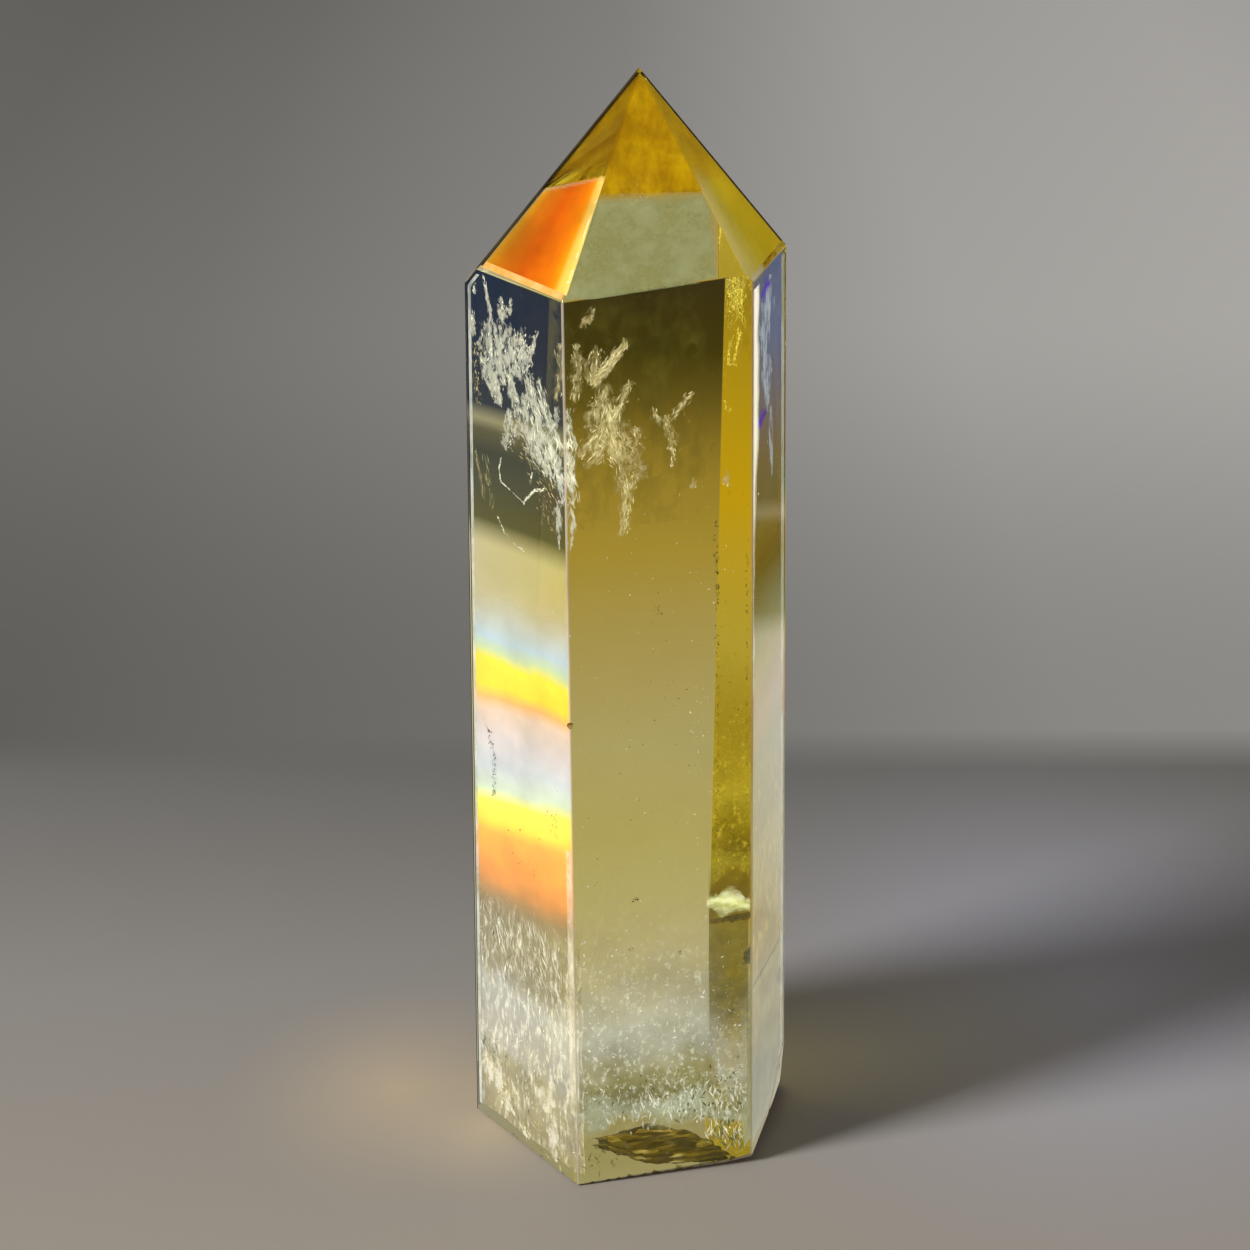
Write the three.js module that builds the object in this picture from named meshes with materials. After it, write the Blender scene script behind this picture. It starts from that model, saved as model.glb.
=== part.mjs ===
import * as THREE from 'three';
import { ConvexGeometry } from 'three/addons/geometries/ConvexGeometry.js';

// A citrine crystal point: one six-sided quartz prism, a little wider at its flat base than at its
// shoulder, closed by six sloping facets that meet in one tip. Millimetres, +Z up, base on z = 0.

const HEIGHT = 90;
const TIP = new THREE.Vector3(0.9, 0, HEIGHT);

// The six sides, anticlockwise seen from above, starting with the front. facing is the azimuth of
// the side's outward normal from +X, fromAxis its distance from the axis at the base, and lean the
// angle by which it closes towards the axis. rim gives the heights at which the facet above it
// meets the edges shared with the side before and the side after: where two neighbours differ, the
// lower facet trims the corner of the other.
const SIDES = [
  { name: 'front', facing: -90, fromAxis: 10.85, lean: 1.2, rim: [76.5, 77.6] },
  { name: 'front right', facing: -30, fromAxis: 12.4, lean: 1.2, rim: [76.9, 76.8] },
  { name: 'back right', facing: 29.5, fromAxis: 10.35, lean: 1.0, rim: [76.8, 77.3] },
  { name: 'back', facing: 84, fromAxis: 9.9, lean: 2.8, rim: [77.3, 77.5] },
  { name: 'back left', facing: 150, fromAxis: 11.9, lean: 1.1, rim: [75.8, 74.9] },
  { name: 'front left', facing: 210, fromAxis: 11.15, lean: 0.7, rim: [76.4, 76.5] },
];

// Flakes broken from the foot, each a flat cut through three points.
const CHIPS = [
  { name: 'front foot', through: [[-6.5, -10.84, 0.2], [6.4, -10.84, 0.7], [1.5, -10.5, 0]] },
  { name: 'front right corner', through: [[6.2, -10.84, 0.65], [8.1, -10.82, 0.95], [7.2, -10.2, 0]] },
  { name: 'right foot', through: [[8.1, -10.82, 0.8], [11.0, -5.75, 1.5], [10.1, -6.3, 0]] },
  { name: 'right corner', through: [[10.9, -5.9, 1.3], [12.3, -3.35, 4.4], [12.4, -2.45, 0]] },
];

const CITRINE = { color: 0xd9b23a, roughness: 0.05, metalness: 0, transparent: true, opacity: 0.6 };
const INSIDE = new THREE.Vector3(0, 0, HEIGHT / 2);
const ON_PLANE = 1e-6;

function level(height) {
  return new THREE.Plane(new THREE.Vector3(0, 0, 1), -height);
}

function planeThrough(a, b, c) {
  const plane = new THREE.Plane().setFromCoplanarPoints(a, b, c);
  return plane.distanceToPoint(INSIDE) > 0 ? plane.negate() : plane;
}

function sidePlane({ facing, fromAxis, lean }) {
  const azimuth = THREE.MathUtils.degToRad(facing);
  const tilt = THREE.MathUtils.degToRad(lean);
  const normal = new THREE.Vector3(
    Math.cos(azimuth) * Math.cos(tilt),
    Math.sin(azimuth) * Math.cos(tilt),
    Math.sin(tilt),
  );
  return new THREE.Plane(normal, -fromAxis * Math.cos(tilt));
}

// The point common to three planes, or null where they have none.
function meet(a, b, c) {
  const bc = new THREE.Vector3().crossVectors(b.normal, c.normal);
  const ca = new THREE.Vector3().crossVectors(c.normal, a.normal);
  const ab = new THREE.Vector3().crossVectors(a.normal, b.normal);
  const volume = a.normal.dot(bc);
  if (Math.abs(volume) < ON_PLANE) return null;
  return bc.multiplyScalar(a.constant)
    .addScaledVector(ca, b.constant)
    .addScaledVector(ab, c.constant)
    .divideScalar(-volume);
}

function facetPlane(index, sides) {
  const side = sides[index];
  const before = sides[(index + sides.length - 1) % sides.length];
  const after = sides[(index + 1) % sides.length];
  const [rimBefore, rimAfter] = SIDES[index].rim;
  return planeThrough(
    TIP,
    meet(side, before, level(rimBefore)),
    meet(side, after, level(rimAfter)),
  );
}

function chipPlane({ through }) {
  return planeThrough(...through.map((point) => new THREE.Vector3(...point)));
}

// The corners of the solid that all the planes enclose.
function corners(planes) {
  const found = [];
  for (let i = 0; i < planes.length; i += 1) {
    for (let j = i + 1; j < planes.length; j += 1) {
      for (let k = j + 1; k < planes.length; k += 1) {
        const point = meet(planes[i], planes[j], planes[k]);
        const kept = point
          && planes.every((plane) => plane.distanceToPoint(point) < ON_PLANE)
          && found.every((other) => other.distanceTo(point) > ON_PLANE);
        if (kept) found.push(point);
      }
    }
  }
  return found;
}

function crystalGeometry() {
  const sides = SIDES.map(sidePlane);
  const facets = SIDES.map((_, index) => facetPlane(index, sides));
  const base = level(0).negate();
  const geometry = new ConvexGeometry(corners([...sides, ...facets, base, ...CHIPS.map(chipPlane)]));
  geometry.computeBoundingBox();
  const middle = geometry.boundingBox.getCenter(new THREE.Vector3());
  return geometry.translate(-middle.x, -middle.y, 0);
}

const point = new THREE.Mesh(crystalGeometry(), new THREE.MeshStandardMaterial(CITRINE));
point.name = 'citrine_point';

const citrine = new THREE.Group();
citrine.add(point);

export default citrine;
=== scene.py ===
"""Citrine crystal point: the looks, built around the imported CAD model. Lengths in metres."""
import math
import random

import bmesh
import bpy
from mathutils import Matrix, Vector, noise


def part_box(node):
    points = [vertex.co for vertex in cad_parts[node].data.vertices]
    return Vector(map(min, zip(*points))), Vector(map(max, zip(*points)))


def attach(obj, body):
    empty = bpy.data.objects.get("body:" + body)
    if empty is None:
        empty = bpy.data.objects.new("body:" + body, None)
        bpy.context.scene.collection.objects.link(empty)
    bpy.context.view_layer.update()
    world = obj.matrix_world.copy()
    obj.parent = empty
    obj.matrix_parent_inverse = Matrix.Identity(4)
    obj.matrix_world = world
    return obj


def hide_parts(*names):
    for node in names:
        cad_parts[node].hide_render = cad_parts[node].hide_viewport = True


noise.seed_set(3)  # without it noise_vector differs from run to run

MM = 0.001
UP = Vector((0, 0, 1))
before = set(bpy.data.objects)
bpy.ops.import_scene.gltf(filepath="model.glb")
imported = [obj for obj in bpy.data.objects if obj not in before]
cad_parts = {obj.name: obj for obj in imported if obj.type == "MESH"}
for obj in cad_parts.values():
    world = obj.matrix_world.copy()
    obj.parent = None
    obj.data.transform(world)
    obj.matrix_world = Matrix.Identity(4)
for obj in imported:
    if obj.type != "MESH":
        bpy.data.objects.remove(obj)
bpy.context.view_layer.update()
cad_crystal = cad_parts["citrine_point"]
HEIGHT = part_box("citrine_point")[1].z

# ---------------- objects and camera

CAMERA_AZIMUTH = math.radians(-11.24)
CAMERA_ELEVATION = math.radians(27.99)
CAMERA_ROLL = math.radians(-0.28)
CAMERA_DISTANCE = 0.20096
CAMERA_AIM = Vector((-0.00013, 0.00011, 0.04588))
SENSOR = 36.0
LENS = 74.27


def add_object(name, data):
    thing = bpy.data.objects.new(name, data)
    bpy.context.scene.collection.objects.link(thing)
    return thing


def mesh_of(name, bm):
    mesh = bpy.data.meshes.new(name)
    bm.to_mesh(mesh)
    bm.free()
    return mesh


def add_camera():
    data = bpy.data.cameras.new("camera")
    data.sensor_width = SENSOR
    data.lens = LENS
    data.clip_start = 0.01
    data.clip_end = 20.0
    camera = add_object("camera", data)
    back = Vector((
        math.sin(CAMERA_AZIMUTH) * math.cos(CAMERA_ELEVATION),
        -math.cos(CAMERA_AZIMUTH) * math.cos(CAMERA_ELEVATION),
        math.sin(CAMERA_ELEVATION),
    ))
    camera.location = CAMERA_AIM + back * CAMERA_DISTANCE
    turn = (-back).to_track_quat("-Z", "Y").to_matrix() @ Matrix.Rotation(CAMERA_ROLL, 3, "Z")
    camera.rotation_euler = turn.to_euler()
    bpy.context.scene.camera = camera


# ---------------- node helpers


def new_material(name):
    material = bpy.data.materials.new(name)
    material.use_nodes = True
    material.node_tree.nodes.clear()
    return material, material.node_tree


def node(tree, kind, **settings):
    """A node with its sockets or properties set by name; an underscore stands for a space."""
    made = tree.nodes.new("ShaderNode" + kind)
    for key, value in settings.items():
        socket = key.replace("_", " ")
        if socket in made.inputs:
            fill(tree, made.inputs[socket], value)
        else:
            setattr(made, key, value)
    return made


def fill(tree, socket, value):
    """Sets a socket to a value, or links it where the value is the socket of another node."""
    if isinstance(value, bpy.types.NodeSocket):
        tree.links.new(value, socket)
    else:
        socket.default_value = value


def ramp(tree, factor, stops, smooth=False):
    """The outputs of a colour ramp; each stop is a position and a colour of 3 or 4 numbers."""
    made = node(tree, "ValToRGB", Fac=factor)
    if smooth:
        made.color_ramp.interpolation = "EASE"
    elements = made.color_ramp.elements
    while len(elements) < len(stops):
        elements.new(0.5)
    for element, (position, colour) in zip(elements, stops):
        element.position = position
        element.color = (*colour, 1.0)[:4]
    return made.outputs


def spread(tree, value, start, end, low_value=0.0, high_value=1.0):
    made = node(
        tree, "MapRange", Value=value,
        From_Min=start, From_Max=end, To_Min=low_value, To_Max=high_value,
    )
    return made.outputs["Result"]


def math_node(tree, operation, one, other):
    made = node(tree, "Math", operation=operation)
    fill(tree, made.inputs[0], one)
    fill(tree, made.inputs[1], other)
    return made.outputs["Value"]


def mixed(tree, factor, one, other, blend="MIX"):
    made = node(tree, "Mix", data_type="RGBA", blend_type=blend, Factor=factor)
    for socket, value in zip((made.inputs[6], made.inputs[7]), (one, other)):
        fill(tree, socket, (*value, 1.0) if isinstance(value, tuple) else value)
    return made.outputs[2]


def stored(tree, name):
    """A number stored on the points of the mesh."""
    return node(tree, "Attribute", attribute_name=name).outputs["Fac"]


def place_axes(tree, space):
    """A place in one of the texture spaces, and its three coordinates."""
    place = node(tree, "TexCoord").outputs[space]
    return place, node(tree, "SeparateXYZ", Vector=place).outputs


def object_noise(tree, stretch, detail, roughness, turn=0.0):
    """Noise in the object's space, turned about Z and stretched, and the place in that space."""
    place = node(tree, "TexCoord").outputs["Object"]
    axes = node(tree, "Mapping", Vector=place, Rotation=(0.0, 0.0, turn), Scale=stretch)
    place = axes.outputs["Vector"]
    grain = node(tree, "TexNoise", Vector=place, Scale=1.0, Detail=detail, Roughness=roughness)
    return grain.outputs["Fac"], place


def distance_from(tree, place, point):
    made = node(tree, "VectorMath", operation="DISTANCE")
    fill(tree, made.inputs[0], place)
    fill(tree, made.inputs[1], point)
    return made.outputs["Value"]


# ---------------- faces of the crystal


def merged_copy(mesh):
    bm = bmesh.new()
    bm.from_mesh(mesh)
    bmesh.ops.remove_doubles(bm, verts=bm.verts, dist=1e-6)
    bmesh.ops.dissolve_limit(bm, angle_limit=math.radians(0.2), verts=bm.verts, edges=bm.edges)
    return bm


class Face:
    """One flat face of the crystal, with places on and under it given in millimetres:
    across it (to the right, seen from outside), in height above the floor, and in depth."""

    def __init__(self, facing, tip=False):
        angle = math.radians(facing)
        toward = Vector((math.cos(angle), math.sin(angle), 0))
        mesh = cad_crystal.data
        flats = [
            flat for flat in mesh.polygons
            if abs(flat.normal.z) < 0.9 and (flat.normal.z > 0.3) == tip and flat.area > 10 * MM * MM
        ]
        flat = max(flats, key=lambda candidate: candidate.normal.dot(toward))
        self.normal = flat.normal.copy()
        self.distance = self.normal.dot(mesh.vertices[flat.vertices[0]].co)
        self.across = UP.cross(self.normal).normalized()
        self.outward = self.across.cross(UP)
        self.outline = self.corner_places()

    def corner_places(self):
        """The corners of the face, in order, as places across it and in height."""
        bm = merged_copy(cad_crystal.data)
        whole = max(bm.faces, key=lambda candidate: candidate.normal.dot(self.normal))
        places = [(vert.co.dot(self.across) / MM, vert.co.z / MM) for vert in whole.verts]
        bm.free()
        return places

    def limits(self, height):
        """How far the face reaches to the left and to the right at one height."""
        found = []
        for (a0, h0), (a1, h1) in zip(self.outline, self.outline[1:] + self.outline[:1]):
            if min(h0, h1) <= height < max(h0, h1):
                found.append(a0 + (a1 - a0) * (height - h0) / (h1 - h0))
        return min(found), max(found)

    def point(self, across, height, depth):
        level = self.normal.dot(self.outward)
        out = (self.distance - self.normal.z * height * MM) / level
        place = self.across * across * MM + self.outward * out + UP * height * MM
        return place - self.normal * depth * MM


# The three sides that look to the front, their facets, and the faces that bound them behind.
FRONT = Face(-90)
LEFT = Face(210)
RIGHT = Face(-30)
TOP_FACET = Face(-90, tip=True)
LEFT_FACET = Face(210, tip=True)
RIGHT_FACET = Face(-30, tip=True)
BACK_LEFT = Face(150)
BACK_RIGHT = Face(29.5)
BACK_LEFT_FACET = Face(150, tip=True)
BACK_RIGHT_FACET = Face(29.5, tip=True)

# ---------------- crystal

ROUND_STEPS = 3
SHARPEST_FLAT = math.radians(8)
SAME_WAY = 0.999
# Looks of the rounded edges: clear quartz, a painted highlight, a painted dark outline, and the dark
# olive-brown of the chipped foot, partly painted shade.
CLEAR, LIGHT, DARK, CHIPPED_AND_SHADED = range(4)
# Limits on a face's normal: the base, the faces of the broken foot, and what looks to the front.
STRAIGHT_DOWN = -0.999
OVERHANGING = -0.01
STEEPLY_UNDER = -0.3
FRONTWARD = -0.3


def cut(bm, normal, distance):
    """Grinds the solid down to one plane, and closes the cut with one face."""
    sliced = bmesh.ops.bisect_plane(
        bm, geom=bm.verts[:] + bm.edges[:] + bm.faces[:], dist=1e-7,
        plane_co=normal * distance, plane_no=normal, clear_outer=True,
    )
    rim = [e for e in sliced["geom_cut"] if isinstance(e, bmesh.types.BMEdge)]
    if len(rim) < 3:
        return []
    return bmesh.ops.edgeloop_fill(bm, edges=rim)["faces"]


def round_edge(bm, point, one, other, radius, look):
    """Rounds one edge with a few narrow facets that touch a cylinder of the given radius."""
    centre = point - (one + other) * radius / (1 + one.dot(other))
    for step in range(ROUND_STEPS):
        share = (step + 0.5) / ROUND_STEPS
        normal = one.slerp(other, share)
        for face in cut(bm, normal, normal.dot(centre) + radius):
            face.smooth = True
            face.material_index = look


def edge_rounding_look(one, other):
    """How wide the rounding of an edge is, in millimetres, and how it looks: clear, a painted highlight, a
    painted dark outline, or the dark chipped foot, partly painted shade.
    """
    def between(first, second):
        return any(
            abs(here.dot(first.normal)) > SAME_WAY and abs(there.dot(second.normal)) > SAME_WAY
            for here, there in ((one, other), (other, one))
        )
    if between(FRONT, LEFT):
        return 0.3, LIGHT
    if between(FRONT, RIGHT):
        return 0.42, LIGHT
    if between(LEFT, BACK_LEFT) or between(RIGHT, BACK_RIGHT):
        return 0.4, DARK
    if between(LEFT_FACET, BACK_LEFT_FACET) or between(RIGHT_FACET, BACK_RIGHT_FACET):
        return 0.4, DARK
    lower, upper = sorted((one, other), key=lambda normal: normal.z)
    if lower.z < STRAIGHT_DOWN and upper.y < FRONTWARD:
        return 0.4, CHIPPED_AND_SHADED
    if STRAIGHT_DOWN < lower.z < OVERHANGING and upper.dot(RIGHT.normal) > SAME_WAY:
        return 0.34, LIGHT
    return 0.16, CLEAR


def rounded_crystal():
    bm = merged_copy(cad_crystal.data)
    draw = random.Random(7)
    edges = []
    for edge in bm.edges:
        one, other = (face.normal.copy() for face in edge.link_faces)
        angle = one.angle(other)
        if angle > SHARPEST_FLAT:
            edges.append((edge.verts[0].co.copy(), one, other, angle, edge.calc_length()))
    for point, one, other, angle, length in edges:
        width, look = edge_rounding_look(one, other)
        width = min(width * MM * draw.uniform(0.9, 1.1), 0.25 * length)
        round_edge(bm, point, one, other, width / (2 * math.tan(angle / 2)), look)
    # The broken faces of the foot that look to the front take the dark chipped look, partly painted shade.
    for face in bm.faces:
        if face.normal.y < FRONTWARD and STRAIGHT_DOWN < face.normal.z < STEEPLY_UNDER:
            face.material_index = CHIPPED_AND_SHADED
    return mesh_of("citrine", bm)


QUARTZ_IOR = 1.55
ABSORPTION_COLOUR = (0.985, 0.9, 0.12, 1.0)
ABSORPTION_DENSITY = 55.0


def quartz_material(name, tints, roughness, transmission, gloss=0.5):
    """See-through quartz, clouded very slightly between two tints."""
    material, tree = new_material(name)
    cloud, _ = object_noise(tree, (150, 150, 150), 5.0, 0.6)
    tint = ramp(tree, cloud, [(0.35, tints[0]), (0.65, tints[1])])["Color"]
    surface = node(
        tree, "BsdfPrincipled", Base_Color=tint, Roughness=roughness, IOR=QUARTZ_IOR,
        Transmission_Weight=transmission, Specular_IOR_Level=gloss,
    )
    absorb = node(tree, "VolumeAbsorption", Color=ABSORPTION_COLOUR, Density=ABSORPTION_DENSITY)
    node(tree, "OutputMaterial", Surface=surface.outputs["BSDF"], Volume=absorb.outputs["Volume"])
    return material


# Flakes broken from the foot and the edges: face, place across, height, radius in millimetres.
CHIPS = [
    (FRONT, -5.2, 0, 0.3), (FRONT, -3.9, 0, 0.38), (FRONT, -3.1, 0.1, 0.26), (FRONT, -2, 0, 0.42),
    (FRONT, -0.9, 0.1, 0.34), (FRONT, 0.1, 0.1, 0.46), (FRONT, 1, 0, 0.36), (FRONT, 2.1, 0.1, 0.5),
    (FRONT, 3, 0.1, 0.4), (FRONT, 3.9, 0.2, 0.3), (FRONT, 5.1, 0.3, 0.34), (FRONT, 6.6, 0.6, 0.32),
    (LEFT, -5.6, 0, 0.26), (LEFT, -2.4, 0, 0.34), (LEFT, -1.8, 0, 0.22),
    (LEFT, 1.4, 0, 0.28), (LEFT, 4.2, 0, 0.24), (LEFT, 5.35, 43.2, 0.26),
    (RIGHT, 0.2, 1.2, 0.36), (RIGHT, 3.4, 3.6, 0.3), (BACK_RIGHT, 1, 0, 0.34),
    (BACK_RIGHT, 4.2, 0, 0.4), (BACK_LEFT, -3, 0, 0.36), (BACK_LEFT, 2.6, 0, 0.3),
]


def flakes():
    """One lumpy ball for each chip, as an object to take away from the crystal."""
    bm = bmesh.new()
    for index, (face, across, height, radius) in enumerate(CHIPS):
        centre = face.point(across, height, 0.1 * radius)
        ball = bmesh.ops.create_icosphere(
            bm, subdivisions=2, radius=radius * MM, matrix=Matrix.Translation(centre),
        )
        for vert in ball["verts"]:
            away = (vert.co - centre) / (radius * MM)
            vert.co += (vert.co - centre) * 0.5 * noise.noise(away * 1.3 + Vector((index, 0, 5)))
    for face in bm.faces:
        face.material_index = CHIPPED_AND_SHADED
    return add_object("flakes", mesh_of("flakes", bm))


def chip(crystal):
    tool = flakes()
    taken = crystal.modifiers.new("chips", "BOOLEAN")
    taken.operation = "DIFFERENCE"
    taken.solver = "EXACT"
    taken.use_self = True
    taken.object = tool
    graph = bpy.context.evaluated_depsgraph_get()
    crystal.data = bpy.data.meshes.new_from_object(crystal.evaluated_get(graph))
    crystal.modifiers.clear()
    bpy.data.objects.remove(tool)


def build_crystal():
    crystal = add_object("citrine", rounded_crystal())
    for material in (
        quartz_material("citrine_quartz", ((0.95, 0.94, 0.92), (1.0, 1.0, 1.0)), 0.0, 1.0),
        # Painted highlight: pale, slightly frosted quartz on the edges that catch the light.
        quartz_material("frosted_highlight_edge", ((0.8, 0.76, 0.6), (1.0, 1.0, 0.92)), 0.28, 0.65),
        # Painted shade: nearly black quartz on the dark outline edges.
        quartz_material("shaded_outline_edge", ((0.015, 0.012, 0.006), (0.07, 0.05, 0.02)), 0.4, 0.05, 0.0),
        # Dark olive-brown of the chipped foot and its lower edges: partly the broken surface, partly
        # painted shade along the foot.
        quartz_material("chipped_shaded_edge", ((0.14, 0.1, 0.015), (0.42, 0.33, 0.09)), 0.35, 0.35),
    ):
        crystal.data.materials.append(material)
    chip(crystal)
    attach(crystal, "root")
    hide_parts("citrine_point")


# ---------------- flaws sealed in the crystal

# Under the front and the front left faces a flaw is laid out by its place on the face, and lies
# further inwards along these slants: millimetres across and up for each millimetre of depth.
FRONT_SLANT = (0.13, -0.38)
LEFT_SLANT = (-0.55, -0.33)
NO_SLANT = (0.0, 0.0)


def add_flaw(name, bm, material):
    flaw = add_object(name, mesh_of(name, bm))
    flaw.data.materials.append(material)
    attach(flaw, "root")


def skin(bm, grid):
    """Fills a grid of vertices with faces, with a hole wherever a vertex is missing."""
    for lower, upper in zip(grid, grid[1:]):
        for column in range(len(lower) - 1):
            corners = (lower[column], lower[column + 1], upper[column + 1], upper[column])
            if all(corners):
                bm.faces.new(corners).smooth = True
    bmesh.ops.delete(bm, geom=[vert for vert in bm.verts if not vert.link_faces], context="VERTS")


def sheet(name, face, heights, span, cell, amount, depth, material, slant=NO_SLANT):
    """A thin sheet under a face. span(h) gives its sides at a height, amount(a, h) how much flaw
    there is at a place, with a hole wherever that is below zero, and depth, a number or
    depth(a, h), how deep it is."""
    bm = bmesh.new()
    amounts = bm.verts.layers.float.new("amount")
    shares = bm.verts.layers.float.new("share")
    widest = max(span(heights[0])[1] - span(heights[0])[0], span(heights[1])[1] - span(heights[1])[0])
    columns = max(2, round(widest / cell))
    rows = max(2, round((heights[1] - heights[0]) / cell))
    grid = []
    for row in range(rows + 1):
        h = heights[0] + (heights[1] - heights[0]) * row / rows
        left, right = span(h)
        line = []
        for column in range(columns + 1):
            share = column / columns
            a = left + (right - left) * share
            there = amount(a, h)
            if there <= 0:
                line.append(None)
                continue
            d = depth(a, h) if callable(depth) else depth
            vert = bm.verts.new(face.point(a + d * slant[0], h + d * slant[1], d))
            vert[amounts] = there
            vert[shares] = share
            line.append(vert)
        grid.append(line)
    skin(bm, grid)
    add_flaw(name, bm, material)


def add_splinter(bm, centre, along, side, size, marks):
    """A splinter with pointed ends, size is its length, width and thickness in millimetres."""
    length, width, thickness = (number * MM / 2 for number in size)
    normal = along.cross(side).normalized()
    side = normal.cross(along)
    ends = [bm.verts.new(centre + along * length), bm.verts.new(centre - along * length)]
    ring = [
        bm.verts.new(centre + offset)
        for offset in (side * width, normal * thickness, side * -width, normal * -thickness)
    ]
    for vert in ends + ring:
        for layer, value in marks:
            vert[layer] = value
    for index in range(4):
        here, after = ring[index], ring[(index + 1) % 4]
        bm.faces.new((ends[0], here, after))
        bm.faces.new((ends[1], after, here))


def stroke_place(points, share):
    """The place at a share of a line of points, and the angle at which the line runs there."""
    whole = share * (len(points) - 1)
    index = min(int(whole), len(points) - 2)
    (a0, h0), (a1, h1) = points[index], points[index + 1]
    t = whole - index
    return a0 + (a1 - a0) * t, h0 + (h1 - h0) * t, math.atan2(h1 - h0, a1 - a0)


UPRIGHT = math.radians(97)


def splinters(name, face, strokes, depths, seed, material, wildness=0.22, lie=None, slant=NO_SLANT):
    """Splinters strewn along strokes, in the direction of the stroke or at the angle lie. A stroke is
    a line of places, its reach to the sides, and the splinters' number, usual length and width."""
    draw = random.Random(seed)
    bm = bmesh.new()
    amounts = bm.verts.layers.float.new("amount")
    tones = bm.verts.layers.float.new("tone")
    for points, reach, count, length, width in strokes:
        for _ in range(count):
            a, h, lean = stroke_place(points, draw.random())
            aside = draw.gauss(0, 0.5) * reach
            a -= math.sin(lean) * aside
            h += math.cos(lean) * aside
            lean = (lean if lie is None else lie) + draw.gauss(0, wildness)
            d = draw.uniform(*depths)
            centre = face.point(a + d * slant[0], h + d * slant[1], d)
            along = face.across * math.cos(lean) + UP * math.sin(lean) + face.normal * draw.gauss(0, 0.3)
            side = face.across * -math.sin(lean) + UP * math.cos(lean) + face.normal * draw.gauss(0, 0.5)
            size = (length * draw.uniform(0.2, 1.3), width * draw.uniform(0.3, 1.3), width * 0.4)
            marks = ((amounts, draw.uniform(0.1, 1.0)), (tones, draw.random()))
            add_splinter(bm, centre, along.normalized(), side, size, marks)
    add_flaw(name, bm, material)


def inset(face, margin, right_margin=None):
    """From side to side of a face, less a margin, or one margin at the left and one at the right."""
    def span(height):
        left, right = face.limits(height)
        return left + margin, right - (margin if right_margin is None else right_margin)
    return span


def beside(face, start, end):
    """A strip along the left side of a face, or, with numbers below zero, along its right side."""
    def span(height):
        left, right = face.limits(height)
        side = left if start >= 0 else right
        return side + start, side + end
    return span


def glint(margin, width, low_end, seed):
    """A wavy line of light beside the left side of the front right face, thinner below low_end."""
    def amount(a, h):
        reach = width * (1.0 if h > low_end else max(0.25, 1 - (low_end - h) / 14))
        reach *= 0.9 + 0.3 * noise.noise(Vector((0, h * 0.35, seed)))
        from_side = a - RIGHT.limits(h)[0] - margin
        return (reach - from_side) * 1.6
    return amount


def rectangle(left, right):
    return lambda height: (left, right)


def everywhere(a, h):
    return 1.0


def wavy_depth(depth, swing, seed):
    return lambda a, h: depth + swing * noise.noise(Vector((a * 0.35, h * 0.35, seed)))


def along_stroke(points, a, h):
    """How far a place is from a line of points, and how far along the line it is, from 0 to 1."""
    nearest, share = math.inf, 0.0
    spans = len(points) - 1
    for index in range(spans):
        (a0, h0), (a1, h1) = points[index], points[index + 1]
        da, dh = a1 - a0, h1 - h0
        t = ((a - a0) * da + (h - h0) * dh) / (da * da + dh * dh)
        t = min(max(t, 0.0), 1.0)
        distance = math.hypot(a0 + t * da - a, h0 + t * dh - h)
        if distance < nearest:
            nearest, share = distance, (index + t) / spans
    return nearest, share


def torn(strokes, seed, widening):
    """Ragged strokes like torn down, a little wider than their splinters."""
    def amount(a, h):
        for size, reach in ((0.7, 0.3), (2.0, 0.22), (6.0, 0.1)):
            shift = noise.noise_vector(Vector((a * size, h * size, seed)))
            a += shift.x * reach
            h += shift.y * reach
        there = -1.0
        for points, reach, *_ in strokes:
            distance, share = along_stroke(points, a, h)
            taper = math.sin(math.pi * min(max(share, 0.08), 0.92)) ** 0.5
            there = max(there, 1 - distance / (reach * widening * taper))
        return there
    return amount


def clouded(edges, size, seed):
    """Cloud that fills a rectangle of places and fades over the given margins: left, right,
    foot and top, each a place where the cloud ends and one where it is full."""
    (left, inner_left), (right, inner_right), (foot, inner_foot), (top, inner_top) = edges
    def amount(a, h):
        fade = min(
            (a - left) / (inner_left - left), (right - a) / (right - inner_right),
            (h - foot) / (inner_foot - foot), (top - h) / (top - inner_top), 1.0,
        )
        cloud = 0.5 + noise.fractal(Vector((a / size, h / size * 0.4, seed)), 0.6, 2.0, 3) * 0.9
        return fade * cloud
    return amount


def flaw_surface(material, tree, roughness, colour, glow, alpha):
    """Gives a flaw's material its surface, which also shines a little in its own colour: a painted glow
    that stands for the light the flaws catch.
    """
    surface = node(
        tree, "BsdfPrincipled", Base_Color=colour, Roughness=roughness, Alpha=alpha,
        Specular_IOR_Level=0.0, Emission_Color=colour, Emission_Strength=glow,
    )
    node(tree, "OutputMaterial", Surface=surface.outputs["BSDF"])
    material.cycles.emission_sampling = "NONE"
    return material


def flaw_material(name, colours, glow, alpha, full_at=1.0, grit=0.0, stretch=(900, 900, 900)):
    """Flaw that is see-through where there is little of it, alpha from 0 to full_at, and whose
    colour wanders between two. grit breaks it up by a grain stretched along the three axes."""
    material, tree = new_material(name)
    grain, _ = object_noise(tree, stretch, 4.0, 0.65)
    wander = math_node(tree, "ADD", grain, math_node(tree, "MULTIPLY", stored(tree, "tone"), 0.5))
    colour = ramp(tree, wander, [(0.4, colours[0]), (0.9, colours[1])])["Color"]
    grit = spread(tree, grain, 0.3, 0.7, -grit, grit)
    broken = math_node(tree, "ADD", stored(tree, "amount"), grit)
    return flaw_surface(material, tree, 0.55, colour, glow, spread(tree, broken, 0.0, full_at, 0.0, alpha))


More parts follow.
